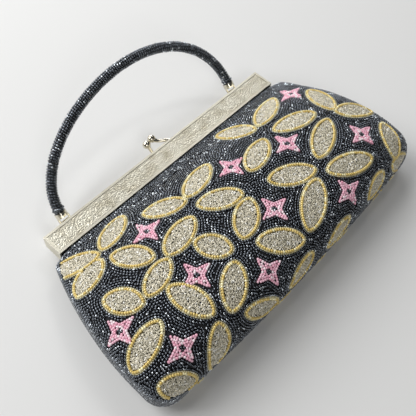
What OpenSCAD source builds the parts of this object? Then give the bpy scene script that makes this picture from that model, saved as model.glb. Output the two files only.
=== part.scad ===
// Kiss lock frame purse, lying on its back with the front face up.
// +X runs along the frame, +Y points from the bag to the handle, +Z leaves the front face.
// The origin is on the surface the purse lies on, under the middle of the bag.

/* [Frame] */
// Length of the frame bars
frame_len = 200; // [180:1:220]
// Height of the visible frame band
band_h = 15.8; // [15:0.2:20]
// Thickness of the closed frame, front face to back face
frame_t = 11; // [10.5:0.5:13]
// Height of the frame's parting plane above the table
frame_mid_z = 12.5; // [12:0.1:15]
// Wall of the bent channel bars
wall = 1; // [0.8:0.1:1.2]
// Distance from the frame's top edge down to the hinge rivets
hinge_drop = 45; // [38:1:50]

/* [Kiss lock] */
// Radius of each lock ball
ball_r = 2.9; // [2.4:0.1:3]
// Height of the front ball above the frame's top edge
ball_rise = 10.6; // [9:0.1:13]

/* [Handle] */
// Distance from the middle of the frame to each handle hinge
handle_x = 80; // [65:0.5:84]
// Height of the handle's arch above its hinge line
handle_h = 61; // [50:0.5:80]
// Radius of the beaded handle
handle_r = 3.7; // [2.9:0.1:3.8]
// Angle between the handle and the plane of the bag
handle_tilt = 45; // [20:1:85]
// How far the slack top of the handle leans to the right
handle_lean = 12.5; // [0:0.5:20]

/* [Bag] */
// Widest part of the bag
bag_w = 246; // [226:1:260]
// Distance from the frame's top edge to the bottom of the bag
bag_drop = 130; // [120:1:160]
// Height of the front face's crown above the parting plane
crown_h = 27; // [16:0.5:30]
// Radius of the two bottom corners
corner_r = 14; // [10:1:25]
// Thickness of the beaded cloth
cloth_t = 1.8; // [1.2:0.1:2.2]

/* [Hidden] */
$fn = 48;

// Colours of the finishes
champagne = [0.78, 0.75, 0.66];
bright_metal = [0.86, 0.84, 0.78];
steel = [0.62, 0.62, 0.63];
dark_beads = [0.10, 0.11, 0.14];
satin = [0.16, 0.16, 0.18];
buckram = [0.80, 0.76, 0.66];
paper = [0.72, 0.62, 0.46];

// Places in the row frame: top_y is the frame's top edge
top_y = 70;
frame_half = frame_len / 2;
part_gap = 0.2;
half_t = (frame_t - part_gap) / 2;
hinge_y = top_y - hinge_drop;

// The lip is the channel's inner wall, which is shorter than its face
lip_h = 9.5;
rim = 1.6;
plate_sink = 0.5;
plate_below = 0.1;

// The cloth reaches up into the channel, except at the ends, where the arms need the room
tuck_top = 3.6;
tuck_end_top = 11.2;
tuck_half = 91.6;

// Arms and rivets
arm_t = 1.4;
rear_arm_x = 92;
arm_play = 0.1;
front_arm_x = rear_arm_x + arm_t + 2 * arm_play;
eye_r = 4;
rivet_r = 1.5;
rivet_seat_r = rivet_r + 0.02;
rivet_head_r = 2.6;
head_t = 1;
running = 0.05;

// Handle hinge
pivot_y = top_y + 4.5;
pivot_z = frame_mid_z - 3.9;
wire_r = 0.75;
knuckle_r = 1.6;
knuckle_len = 5;
knuckle_web = 2.6;
bail_half = 3.6;
cap_r = handle_r + 0.4;
cap_start = 3.9;
cap_len = 3.4;
cap_floor = 0.8;
arch_start = 8;
core_r = 2.5;
core_gap = 0.4;
bore_play = 0.25;
arch_steps = 36;

// Soft shell: seam_gap keeps the front clear of the back along the parting plane
seam_gap = 0.4;
rear_depth = frame_mid_z + 0.5;
mouth_h = 3.55;
bow = 3.4;
close_from = 88;
fold_top = 40;
fold_end = 64;
side_angle = 66;
stiffener_t = 0.7;
lining_t = 0.6;
layer_gap = 0.15;
cloth_play = 0.3;
rear_low_top = 48;

// Flat inner pocket: its lower edge stays above where the back starts to curve up
pocket_w = 84;
pocket_top = 46;
pocket_low = 96;
pocket_t = 0.8;
pocket_lift = 0.6;

// How the shell grows: run is the distance over which a measure reaches its full value
shoulder = 3.9;
widen_from = 14;
widen_run = 91;
widen_power = 0.8;
flare_run = 5;
flare_top = 20;
crown_run = 62;
crown_power = 0.85;
belly_run = 30;
power_top = 8;
power_low = 4.8;
power_run = 20;
close_power = 2.6;
close_root = 0.42;
bow_from = 60;
spread_run = 14;
spread_narrow = 7;

function clamp01(t) = max(0, min(1, t));
function smooth(t) = clamp01(t) * clamp01(t) * (3 - 2 * clamp01(t));
function mix(a, b, t) = a + (b - a) * t;
function sgn_pow(v, p) = sign(v) * pow(abs(v), p);

// Half width of the bag at d below the frame's top edge, before the corners are rounded
function rise(t, power) = pow(sin(90 * clamp01(t)), power);
function open_half(d) = frame_half + shoulder
    + (bag_w / 2 - frame_half - shoulder) * rise((d - widen_from) / widen_run, widen_power);
function flared_half(d) =
    mix(frame_half - wall - cloth_play, open_half(max(d, flare_top)), smooth((d - band_h) / flare_run));
function round_loss(u) = corner_r - sqrt(max(0, corner_r * corner_r - u * u));
function half_w(d, drop) = flared_half(d) - round_loss(max(0, d - drop + corner_r));

// Height of the front and depth of the back from the parting plane, along the middle
function bottom_close(d, drop) =
    pow(max(0, 1 - pow(clamp01((d - close_from) / (drop - close_from)), close_power)), close_root);
function crown(d) = mouth_h + (crown_h - mouth_h) * rise((d - band_h) / crown_run, crown_power);
function belly(d) = mouth_h + (rear_depth - mouth_h) * smooth((d - band_h) / belly_run);
function section_power(d) = mix(power_top, power_low, smooth((d - band_h) / power_run));

// The lining is held in beside the hinge arms and spreads out below them
function narrow_at(d, narrow) =
    mix(narrow, min(narrow, spread_narrow), smooth((d - fold_end) / spread_run));

// A point of the shell: inset moves it inwards, narrow draws the sides in further
function shell_point(d, a, inset, narrow, front) =
    let (
        drop = bag_drop - inset,
        w = half_w(d, drop) - inset - narrow_at(d, narrow),
        depth = (front ? crown(d) : belly(d)) * bottom_close(d, drop),
        h = max(0, depth - min(inset, depth)),
        p = 2 / section_power(d),
        x = w * sgn_pow(sin(a), p),
        z = h * pow(max(0, cos(a)), p),
        lift = bow * pow(x / max(w, 1), 2) * smooth((d - bow_from) / (drop - bow_from)),
        parting = seam_gap / 2)
    [x, top_y - d + lift, frame_mid_z + (front ? parting + z : -parting - z)];

// Inner layers stop short of the bottom, so below the fold their rows draw together to nest
function row_at(d, inset) = d <= fold_end
    ? d
    : mix(fold_end, bag_drop - inset, (d - fold_end) / (bag_drop - fold_end));

// Closed solid between two insets of the shell, over rows of d and columns of angle
module shell(rows, cols, inset, thick, front, narrow = 0) {
    nr = len(rows);
    nc = len(cols);
    last_inset = inset + thick;
    outer = [for (d = rows) for (a = cols)
        shell_point(row_at(d, inset), a, inset, narrow, front)];
    inner = [for (d = rows) for (a = cols)
        shell_point(row_at(d, last_inset), a, last_inset, narrow, front)];
    n = nr * nc;
    quads = [for (i = [0 : nr - 2]) for (j = [0 : nc - 2])
        [i * nc + j, i * nc + j + 1, (i + 1) * nc + j + 1, (i + 1) * nc + j]];
    rim_loop = concat(
        [for (j = [0 : nc - 1]) j],
        [for (i = [1 : nr - 1]) i * nc + nc - 1],
        [for (j = [nc - 2 : -1 : 0]) (nr - 1) * nc + j],
        [for (i = [nr - 2 : -1 : 1]) i * nc]);
    nl = len(rim_loop);
    outer_faces = [for (q = quads) each [[q[0], q[1], q[2]], [q[0], q[2], q[3]]]];
    inner_faces = [for (f = outer_faces) [n + f[2], n + f[1], n + f[0]]];
    rim_faces = [for (k = [0 : nl - 1])
        let (p = rim_loop[k], q = rim_loop[(k + 1) % nl])
        each [[p, n + p, n + q], [p, n + q, q]]];
    faces = concat(outer_faces, inner_faces, rim_faces);
    polyhedron(concat(outer, inner), front ? faces : [for (f = faces) [f[2], f[1], f[0]]]);
}

function steps(a, b, n) = [for (i = [0 : n]) mix(a, b, i / n)];
// Rows get closer together towards the bottom, where the section closes
function closing_rows(a, n) = [for (i = [0 : n]) mix(a, bag_drop, sin(90 * i / n))];

// Channel bar, drawn for the front half, with the face up
module channel_bar() {
    face_z = frame_mid_z + frame_t / 2;
    inner_z = frame_mid_z + part_gap / 2;
    difference() {
        translate([-frame_half, top_y - band_h, inner_z])
            cube([frame_len, band_h, half_t]);
        translate([-frame_half + wall, top_y - band_h - 1, inner_z + wall])
            cube([frame_len - 2 * wall, band_h + 1 - wall, half_t - wall - wall - plate_sink]);
        translate([-frame_half + wall, top_y - band_h - 1, inner_z - 1])
            cube([frame_len - 2 * wall, band_h + 1 - lip_h, 1 + 2 * wall]);
        translate([-frame_half + rim, top_y - band_h + rim, face_z - plate_sink])
            cube([frame_len - 2 * rim, band_h - 2 * rim, 1]);
    }
}

// Etched plate set into the bar's face, slightly below the raised rim
module face_plate() {
    inset = rim + running;
    translate([-frame_half + inset, top_y - band_h + inset, frame_mid_z + frame_t / 2 - plate_sink])
        cube([frame_len - 2 * inset, band_h - 2 * inset, plate_sink - plate_below]);
}

// Flat arm from inside the channel down to the hinge eye, at x on one side
module arm(x, bore_r) {
    low = part_gap / 2 + wall + arm_play;
    high = half_t - wall - plate_sink - arm_play;
    neck = 1.4;
    translate([x, 0, 0])
    rotate([90, 0, 90])
    difference() {
        union() {
            linear_extrude(arm_t)
            polygon([
                [top_y - wall - 2 * arm_play, frame_mid_z + low],
                [top_y - wall - 2 * arm_play, frame_mid_z + high],
                [top_y - tuck_end_top + 2 * arm_play, frame_mid_z + high],
                [top_y - tuck_end_top + 2 * arm_play, frame_mid_z + neck],
                [top_y - band_h, frame_mid_z + neck],
                [hinge_y, frame_mid_z + eye_r],
                [hinge_y, frame_mid_z],
                [top_y - lip_h - arm_play, frame_mid_z + part_gap / 2],
                [top_y - lip_h - arm_play, frame_mid_z + low]]);
            translate([hinge_y, frame_mid_z, 0])
                cylinder(h = arm_t, r = eye_r);
        }
        translate([hinge_y, frame_mid_z, -1])
            cylinder(h = arm_t + 2, r = bore_r);
    }
}

module hinge_rivet() {
    shank = 2 * arm_t + 4 * arm_play;
    translate([rear_arm_x, hinge_y, frame_mid_z])
    rotate([0, 90, 0]) {
        translate([0, 0, -head_t]) cylinder(h = head_t, r = rivet_head_r);
        cylinder(h = shank, r = rivet_r);
        translate([0, 0, shank]) cylinder(h = head_t, r = rivet_head_r);
    }
}

// Twisted paper cord that packs the cloth's edge into the channel
module channel_cord() {
    cord_r = 1;
    end_gap = 9;
    translate([-frame_half + end_gap, top_y - wall - cord_r - cloth_play, frame_mid_z + frame_t / 4])
    rotate([0, 90, 0])
        cylinder(h = frame_len - 2 * end_gap, r = cord_r);
}

module front_to_rear() {
    translate([0, 0, 2 * frame_mid_z]) mirror([0, 0, 1]) children();
}

// Rings of a tube along a path, each square to it; side is a direction off the path's plane
function path_dir(path, i) =
    let (last = len(path) - 1, v = path[min(i + 1, last)] - path[max(i - 1, 0)])
    v / norm(v);
function ring_points(path, i, r, sides, side) = [for (k = [0 : sides - 1])
    let (
        d = path_dir(path, i),
        u = cross(d, side) / norm(cross(d, side)),
        v = cross(u, d),
        a = 360 * k / sides)
    path[i] + r * cos(a) * u + r * sin(a) * v];
function tube_walls(first, rings, sides, flip) = [
    for (i = [0 : rings - 2]) for (k = [0 : sides - 1])
    let (
        a = first + i * sides + k,
        b = first + i * sides + (k + 1) % sides,
        t1 = [a, b, b + sides],
        t2 = [a, b + sides, a + sides])
    each (flip ? [[t1[2], t1[1], t1[0]], [t2[2], t2[1], t2[0]]] : [t1, t2])];
function solid_ends(last, sides) = [
    for (k = [1 : sides - 2]) each [[0, k + 1, k], [last, last + k, last + k + 1]]];
function ring_ends(last, n, sides) = [
    for (k = [0 : sides - 1])
    let (m = (k + 1) % sides)
    each [[k, n + k, n + m], [k, n + m, m],
        [last + k, last + m, n + last + m], [last + k, n + last + m, n + last + k]]];

// Tube along a path, with a radius for each point, solid or with a bore
module tube(path, radii, bore, sides, side) {
    rings = len(path);
    n = rings * sides;
    last = n - sides;
    outer = [for (i = [0 : rings - 1]) each ring_points(path, i, radii[i], sides, side)];
    walls = tube_walls(0, rings, sides, false);
    if (bore > 0) {
        inner = [for (i = [0 : rings - 1]) each ring_points(path, i, bore, sides, side)];
        inner_walls = tube_walls(n, rings, sides, true);
        polyhedron(concat(outer, inner), concat(walls, inner_walls, ring_ends(last, n, sides)));
    }
    else
        polyhedron(outer, concat(walls, solid_ends(last, sides)));
}

function curve(p, t) = pow(1 - t, 3) * p[0] + 3 * t * pow(1 - t, 2) * p[1]
    + 3 * t * t * (1 - t) * p[2] + pow(t, 3) * p[3];

// Swept stem, which swells into a foot where it joins its bar
module stem(handles) {
    rings = 12;
    path = [for (i = [0 : rings]) curve(handles, i / rings)];
    radii = [for (i = [0 : rings]) stem_r + (foot_r - stem_r) * pow(1 - i / rings, 5)];
    tube(path, radii, 0, 10, [0, 0, 1]);
}

// The two balls pass each other side by side along the frame
front_ball = [1.8, top_y + ball_rise, frame_mid_z + 2.4];
rear_ball = [front_ball[0] - 2 * ball_r - 0.2, front_ball[1] - 1.4, front_ball[2]];
stem_r = 0.95;
foot_r = 1.8;
front_seat_z = frame_mid_z + half_t / 2;
rear_seat_z = frame_mid_z - half_t / 2;
front_curve = [
    [10, top_y, front_seat_z],
    [7.8, top_y + 4.2, front_seat_z],
    [3.4, top_y + 3.4, front_seat_z],
    front_ball];
rear_curve = [
    [-3.6, top_y, rear_seat_z],
    [-3.8, top_y + 5.4, rear_seat_z],
    [-4.2, top_y + 5.4, rear_ball[2] - 1.5],
    rear_ball];

module lock_ball(centre) {
    translate(centre) sphere(r = ball_r);
}

// The handle is drawn flat, with +Y away from its hinge line, and then tilted
module at_pivot() {
    translate([0, pivot_y, pivot_z]) rotate([handle_tilt, 0, 0]) children();
}

module handle_knuckle() {
    difference() {
        union() {
            translate([handle_x - knuckle_len / 2, pivot_y, pivot_z])
            rotate([0, 90, 0])
                cylinder(h = knuckle_len, r = knuckle_r);
            translate([handle_x - knuckle_len / 2, top_y, pivot_z - knuckle_web / 2])
                cube([knuckle_len, pivot_y - top_y, knuckle_web]);
        }
        translate([handle_x - knuckle_len, pivot_y, pivot_z])
        rotate([0, 90, 0])
            cylinder(h = 2 * knuckle_len, r = wire_r + running);
    }
}

// Wire stirrup: a pin through the knuckle and two legs up to the cap
module handle_bail() {
    at_pivot() {
        translate([handle_x - bail_half, 0, 0])
        rotate([0, 90, 0])
            cylinder(h = 2 * bail_half, r = wire_r);
        for (side = [-1, 1])
        translate([handle_x + side * bail_half, 0, 0]) {
            sphere(r = wire_r);
            rotate([-90, 0, 0]) cylinder(h = cap_start, r = wire_r);
        }
    }
}

module handle_cap() {
    at_pivot()
    translate([handle_x, cap_start, 0])
    rotate([-90, 0, 0])
    difference() {
        cylinder(h = cap_len, r = cap_r);
        translate([0, 0, cap_floor]) cylinder(h = cap_len, r = handle_r + running);
    }
}

// Centre line of the handle's arch, in its own plane
arch_base = cap_start + cap_floor + core_gap;
function arch_point(t) =
    let (y = arch_start + (handle_h - arch_start) * sin(t))
    [handle_x * cos(t) + handle_lean * pow(y / handle_h, 2), y, 0];
arch = concat(
    [[handle_x, arch_base, 0]],
    [for (i = [0 : arch_steps]) arch_point(180 * i / arch_steps)],
    [[-handle_x, arch_base, 0]]);

module arch_tube(r, bore, sides) {
    at_pivot() tube(arch, [for (p = arch) r], bore, sides, [0, 0, 1]);
}

module left() {
    mirror([1, 0, 0]) children();
}

// Metal parts
module rear_frame_bar() { color(champagne) front_to_rear() channel_bar(); }
module front_frame_bar() { color(champagne) channel_bar(); }
module rear_face_plate() { color(bright_metal) front_to_rear() face_plate(); }
module front_face_plate() { color(bright_metal) face_plate(); }
module rear_arm_right() { color(steel) front_to_rear() arm(rear_arm_x, rivet_seat_r); }
module rear_arm_left() { color(steel) left() front_to_rear() arm(rear_arm_x, rivet_seat_r); }
module front_arm_right() { color(steel) arm(front_arm_x, rivet_r + running); }
module front_arm_left() { color(steel) left() arm(front_arm_x, rivet_r + running); }
module hinge_rivet_right() { color(steel) hinge_rivet(); }
module hinge_rivet_left() { color(steel) left() hinge_rivet(); }
module rear_channel_cord() { color(paper) front_to_rear() channel_cord(); }
module front_channel_cord() { color(paper) channel_cord(); }
module rear_lock_stem() { color(bright_metal) stem(rear_curve); }
module rear_lock_ball() { color(bright_metal) lock_ball(rear_ball); }
module front_lock_stem() { color(bright_metal) stem(front_curve); }
module front_lock_ball() { color(bright_metal) lock_ball(front_ball); }
module handle_knuckle_right() { color(bright_metal) handle_knuckle(); }
module handle_knuckle_left() { color(bright_metal) left() handle_knuckle(); }
module handle_bail_right() { color(bright_metal) handle_bail(); }
module handle_bail_left() { color(bright_metal) left() handle_bail(); }
module handle_cap_right() { color(bright_metal) handle_cap(); }
module handle_cap_left() { color(bright_metal) left() handle_cap(); }
module handle_core() { color(paper) arch_tube(core_r, 0, 8); }
module handle_beading() { color(dark_beads) arch_tube(handle_r, core_r + bore_play, 10); }

// Soft parts: the beaded cloth, the stiff layer behind it and the lining
edge_cols = [-90, -78, -66, -54, -40, -22, 0, 22, 40, 54, 66, 78, 90];
face_cols = [-side_angle, -54, -40, -22, 0, 22, 40, 54, side_angle];
side_cols = [side_angle + 0.5, 74, 82, 90];
top_rows = [tuck_top, band_h, 20, 24, 30, fold_top];
fold_rows = steps(fold_top + 0.4, fold_end - 0.4, 4);
low_rows = closing_rows(fold_end, 9);
rear_low_rows = closing_rows(rear_low_top, 9);
rear_rows = concat([tuck_top, band_h, 20, 24, 30, 38], rear_low_rows);

module above_table() {
    difference() {
        children();
        translate([-bag_w, -bag_w, -20]) cube([2 * bag_w, 2 * bag_w, 20]);
    }
}

// Clears the two ends of the tucked edge for the arms
module notched() {
    difference() {
        children();
        for (side = [0, 1])
        mirror([side, 0, 0])
        translate([tuck_half, top_y - tuck_end_top, 0])
            cube([frame_half, tuck_end_top, 2 * frame_mid_z]);
    }
}

module rear_panel() {
    color(dark_beads) notched() above_table() shell(rear_rows, edge_cols, 0, cloth_t, false);
}
module front_panel_top() {
    color(dark_beads) notched() shell(top_rows, edge_cols, 0, cloth_t, true);
}
module front_fold() { color(dark_beads) shell(fold_rows, edge_cols, 0, cloth_t, true); }
module front_panel() { color(dark_beads) shell(low_rows, face_cols, 0, cloth_t, true); }
module gusset_right() { color(dark_beads) shell(low_rows, side_cols, 0, cloth_t, true); }
module gusset_left() { color(dark_beads) left() gusset_right(); }

stiff_inset = cloth_t + layer_gap;
lining_inset = stiff_inset + stiffener_t + 2 * layer_gap;
stiff_narrow = 3;
lining_narrow = 25;
module rear_stiffener() {
    color(buckram) shell(rear_low_rows, face_cols, stiff_inset, stiffener_t, false, stiff_narrow);
}
module front_stiffener() {
    color(buckram) shell(low_rows, face_cols, stiff_inset, stiffener_t, true, stiff_narrow);
}
module rear_lining() {
    color(satin)
        shell(concat([24, 30, 38], rear_low_rows), edge_cols, lining_inset, lining_t, false, lining_narrow);
}
module lining_top() {
    color(satin) shell([20, 24, 30, fold_top], edge_cols, lining_inset, lining_t, true, lining_narrow);
}
module lining_fold() {
    color(satin) shell(fold_rows, edge_cols, lining_inset, lining_t, true, lining_narrow);
}
module front_lining() {
    color(satin)
        shell(low_rows, edge_cols, lining_inset, lining_t, true, lining_narrow);
}
module inner_pocket() {
    floor_z = frame_mid_z - seam_gap / 2 - rear_depth + lining_inset + lining_t;
    color(satin)
    translate([-pocket_w / 2, top_y - pocket_low, floor_z + pocket_lift])
        cube([pocket_w, pocket_low - pocket_top, pocket_t]);
}

rear_frame_bar();
rear_face_plate();
rear_arm_left();
rear_arm_right();
front_frame_bar();
front_face_plate();
front_arm_left();
front_arm_right();
hinge_rivet_left();
hinge_rivet_right();
rear_channel_cord();
front_channel_cord();
rear_lock_stem();
rear_lock_ball();
front_lock_stem();
front_lock_ball();
handle_knuckle_left();
handle_knuckle_right();
handle_bail_left();
handle_bail_right();
handle_cap_left();
handle_cap_right();
handle_core();
handle_beading();
rear_panel();
front_panel_top();
front_fold();
front_panel();
gusset_left();
gusset_right();
rear_stiffener();
front_stiffener();
rear_lining();
lining_top();
lining_fold();
front_lining();
inner_pocket();
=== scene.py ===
import bpy
import math
import random
import numpy as np
from mathutils import Matrix, Vector, noise


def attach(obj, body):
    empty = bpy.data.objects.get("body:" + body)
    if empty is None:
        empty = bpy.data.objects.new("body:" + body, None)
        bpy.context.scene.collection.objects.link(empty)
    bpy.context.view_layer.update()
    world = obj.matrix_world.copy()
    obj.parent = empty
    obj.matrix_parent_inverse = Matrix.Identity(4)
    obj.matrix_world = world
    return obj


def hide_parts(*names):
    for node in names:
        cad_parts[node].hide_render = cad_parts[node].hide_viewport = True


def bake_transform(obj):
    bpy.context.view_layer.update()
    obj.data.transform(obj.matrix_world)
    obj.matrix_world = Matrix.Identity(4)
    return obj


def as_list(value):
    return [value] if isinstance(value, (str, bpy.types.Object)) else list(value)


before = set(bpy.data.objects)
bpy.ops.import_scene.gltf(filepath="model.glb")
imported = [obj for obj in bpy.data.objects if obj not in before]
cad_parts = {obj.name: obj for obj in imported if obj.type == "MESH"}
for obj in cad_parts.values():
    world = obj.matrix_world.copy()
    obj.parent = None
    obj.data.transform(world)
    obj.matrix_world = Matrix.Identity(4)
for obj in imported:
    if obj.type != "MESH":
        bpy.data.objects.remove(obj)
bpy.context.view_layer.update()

# Beaded kiss lock purse. Lengths are in millimetres until a mesh is made.
mm = 0.001
dice = random.Random(41)
print("frame loaded")

# Shape of the bag, measured from the frame's top edge down
bag = {
    "frameHalf": 100.0, "bandHeight": 15.8, "topY": 70.0, "midZ": 12.5, "mouthPlay": 1.3,
    "width": 246.0, "drop": 130.0, "cornerRadius": 14.0, "shoulder": 3.9, "seamGap": 0.4,
    "growFrom": 14, "growRun": 91, "growPower": 0.8, "flareTop": 20, "flareRun": 5,
    "mouth": 3.55, "crown": 27.0, "crownRun": 62, "crownPower": 0.85, "rearDepth": 13.0, "rearRun": 30,
    "closeFrom": 88.0, "closePower": 2.6, "closeRoot": 0.42, "bow": 3.4, "bowFrom": 60,
    "squareness": 8, "softening": 3.2, "softenRun": 20,
    "spreadFrom": 64.0, "spreadRun": 14.0, "spreadNarrow": 7.0,
}


def ramp(t):
    t = np.clip(t, 0, 1)
    return t * t * (3 - 2 * t)


def unit(vectors):
    return vectors / (np.linalg.norm(vectors, axis=1, keepdims=True) + 1e-9)


def lengthAlong(points):
    return np.concatenate([[0], np.cumsum(np.linalg.norm(np.diff(points, axis=0), axis=1))])


def halfWidth(d, drop):
    b = bag
    widened = np.clip((np.maximum(d, b["flareTop"]) - b["growFrom"]) / b["growRun"], 0, 1)
    grow = np.sin(np.pi / 2 * widened) ** b["growPower"]
    opened = b["frameHalf"] + b["shoulder"] + (b["width"] / 2 - b["frameHalf"] - b["shoulder"]) * grow
    mouthHalf = b["frameHalf"] - b["mouthPlay"]
    flared = mouthHalf + (opened - mouthHalf) * ramp((d - b["bandHeight"]) / b["flareRun"])
    over = np.maximum(0, d - drop + b["cornerRadius"])
    return flared - b["cornerRadius"] + np.sqrt(np.maximum(0, b["cornerRadius"] ** 2 - over ** 2))


def narrowAt(d, narrow):
    # The lining is held in beside the hinge arms and spreads out below them
    low = min(narrow, bag["spreadNarrow"])
    return narrow + (low - narrow) * ramp((d - bag["spreadFrom"]) / bag["spreadRun"])


def shellPoint(d, a, inset=0.0, side=1, narrow=0.0):
    # d runs down from the frame's top edge, a runs from -pi/2 to pi/2 across
    b = bag
    drop = b["drop"] - inset
    w = halfWidth(d, drop) - inset - narrowAt(d, narrow)
    if side > 0:
        rise = np.sin(np.pi / 2 * np.clip((d - b["bandHeight"]) / b["crownRun"], 0, 1)) ** b["crownPower"]
        depth = b["mouth"] + (b["crown"] - b["mouth"]) * rise
    else:
        depth = b["mouth"] + (b["rearDepth"] - b["mouth"]) * ramp((d - b["bandHeight"]) / b["rearRun"])
    lower = np.clip((d - b["closeFrom"]) / (drop - b["closeFrom"]), 0, 1)
    closing = np.maximum(0, 1 - lower ** b["closePower"]) ** b["closeRoot"]
    h = np.maximum(0, depth * closing - inset)
    power = b["squareness"] - b["softening"] * ramp((d - b["bandHeight"]) / b["softenRun"])
    s, c = np.sin(a), np.maximum(0, np.cos(a))
    r = (np.abs(s) ** power + c ** power) ** (-1 / power)
    x, z = w * s * r, h * c * r
    lift = b["bow"] * (x / np.maximum(w, 1)) ** 2 * ramp((d - b["bowFrom"]) / (drop - b["bowFrom"]))
    z = b["midZ"] + side * (b["seamGap"] / 2 + z)
    if side < 0:
        z = np.maximum(z, inset)  # the back rests flat
    return np.stack([x, b["topY"] - d + lift, z], -1)


chart = {"rows": 420, "cols": 301, "step": 0.5, "reach": 0.8, "edgeMargin": 0.05, "leastSpan": 0.2}


class ClothMap:
    # Cloth coordinates: u runs across from the middle, v runs down from the frame
    def __init__(self, side):
        rows, cols = chart["rows"], chart["cols"]
        b = bag
        d = b["bandHeight"] + (b["drop"] - b["bandHeight"]) * np.sin(np.linspace(0, np.pi / 2, rows))
        a = np.linspace(-np.pi / 2, np.pi / 2, cols)
        dd, aa = np.meshgrid(d, a, indexing="ij")
        pts = shellPoint(dd, aa, 0.0, side)
        mid = cols // 2
        v = lengthAlong(pts[:, mid])
        along = np.linalg.norm(np.diff(pts, axis=1), axis=2)
        u = np.concatenate([np.zeros((rows, 1)), np.cumsum(along, axis=1)], 1)
        u -= u[:, mid:mid + 1]
        self.step = chart["step"]
        self.vMax = float(v[-1])
        self.uMax = float(u.max())
        self.us = np.arange(-self.uMax, self.uMax + self.step, self.step)
        self.vs = np.arange(0, self.vMax + self.step, self.step)
        table = np.zeros((len(self.vs), len(self.us), 3))
        edge = np.zeros(len(self.vs))
        place = np.interp(self.vs, v, np.arange(rows))
        for k, f in enumerate(place):
            i = min(int(f), rows - 2)
            t = f - i
            uu = u[i] * (1 - t) + u[i + 1] * t
            pp = pts[i] * (1 - t) + pts[i + 1] * t
            edge[k] = uu[-1]
            for c in range(3):
                table[k, :, c] = np.interp(self.us, uu, pp[:, c])
        self.table, self.edge, self.side = table, edge, side

    def at(self, u, v):
        x = np.clip((u - self.us[0]) / self.step, 0, len(self.us) - 1.001)
        y = np.clip(v / self.step, 0, len(self.vs) - 1.001)
        i, j = x.astype(int), y.astype(int)
        fx, fy = (x - i)[:, None], (y - j)[:, None]
        t = self.table
        return (t[j, i] * (1 - fx) + t[j, i + 1] * fx) * (1 - fy) \
            + (t[j + 1, i] * (1 - fx) + t[j + 1, i + 1] * fx) * fy

    def edgeAt(self, v):
        return np.interp(v, self.vs, self.edge)

    def frameAt(self, u, v):
        # Place, both tangents and the outward normal
        e = chart["reach"]
        lim = self.edgeAt(v) - chart["edgeMargin"]
        ul, ur = np.clip(u - e, -lim, lim), np.clip(u + e, -lim, lim)
        vl, vr = np.clip(v - e, 0, self.vMax), np.clip(v + e, 0, self.vMax)
        tu = (self.at(ur, v) - self.at(ul, v)) / np.maximum(ur - ul, chart["leastSpan"])[:, None]
        tv = (self.at(u, vr) - self.at(u, vl)) / np.maximum(vr - vl, chart["leastSpan"])[:, None]
        return self.at(u, v), tu, tv, unit(np.cross(tv, tu) * self.side)


frontMap, rearMap = ClothMap(1), ClothMap(-1)
print("cloth maps", round(frontMap.vMax, 1), round(rearMap.vMax, 1))

# Pattern: a network of petals with four pointed stars between them
motifs = {
    "petalWidth": 15.8, "leafPower": 0.62, "leafSteps": 61, "petalReach": 16,
    "starSize": 23.5, "starWaist": 0.37, "starReach": 20, "rearShrink": 0.95,
    # Petals: both tips, across and down the cloth, then a width where it isn't the usual one
    "petals": [
        (84, 17, 51, 31), (52, 43, 84, 54), (31, 8, 48, 32), (43, 43, 14, 55),
        (95, 62, 105, 33), (94, 63, 120, 81), (85, 64, 52, 80), (113, 92, 99, 120),
        (16, 68, 45, 84), (48, 90, 82, 105), (40, 89, 8, 108, 17), (84, 118, 62, 126, 13),
        (93, 120, 118, 133), (42, 123, 16, 129, 12), (5, 27, -26, 38), (-27, 48, -1, 63),
        (-51, 24, -27, 40), (-34, 52, -64, 60), (-1, 68, -26, 84), (-47, 65, -35, 85),
        (-22, 91, 3, 110), (-57, 11, -84, 25), (-84, 33, -69, 56), (-86, 26, -116, 8),
        (-88, 30, -115, 37), (-106, 52, -92, 72), (-64, 62, -89, 70, 13.6), (-77, 74, -70, 104),
        (-39, 90, -62, 110), (-56, 116, -31, 132, 13), (4, 120, -21, 130, 12), (-93, 85, -124, 94),
        (-71, 108, -87, 135), (-118, 110, -98, 131),
    ],
    "stars": [
        (93, 26), (90, 89), (48, 58), (10, 43), (49, 109), (3, 84),
        (-59, 38), (-61, 81), (-29, 108), (-112, 73), (-95, 105),
    ],
}
beads = {
    "rowPitch": 1.62, "threadPitch": 1.86, "length": 1.54, "radius": 0.67, "apart": 1.22, "lookAlong": 0.7,
    "holeRoom": 0.7, "holeApart": 1.38, "holeLength": 1.45, "holeRadius": 0.7, "groundGap": 0.55,
    "goldPitch": 1.54, "goldLength": 1.48, "goldRadius": 0.95, "goldInset": 0.95, "goldApart": 0.9,
    "goldLift": 0.12,
    "edgePitch": 1.3, "edgeLength": 1.15, "edgeRadius": 0.52, "edgeOutset": 0.25, "edgeApart": 0.75,
    "edgeLift": -0.1, "edgeOverlap": 0.4,
    "cutSpacing": 0.99, "cutLength": 1.5, "cutRadius": 0.4, "cutInset": 1.85, "cutStray": 0.3,
    "cutRowRatio": 0.87,
    "pinkSpacing": 1.6, "pinkLength": 1.55, "pinkRadius": 0.78, "pinkRows": (0.55, 1.9, 3.2, 4.5, 5.6),
    "pinkApart": 1.05, "pinkTurn": 0.5, "pinkLift": 0.35,
    "spareInset": 0.5, "spareApart": 1.12, "spareLength": 1.4, "spareLift": 0.05,
    "heartRadius": 1.9, "heartRing": 0.9, "heartLength": 1.3, "heartBeadRadius": 0.7, "heartLift": 0.1,
    "heartBeads": 3, "heartTurn": 2.1, "heartStart": 0.2,
    "strip": 8.2, "stripRows": 5, "sink": 0.4, "tableGap": 0.05, "mostPerPiece": 4200,
    "cell": 2.0, "seamMargin": 0.2, "topMargin": 0.3, "endMargin": 0.6, "stripStart": 0.8, "stripStep": 0.5,
}


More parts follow.
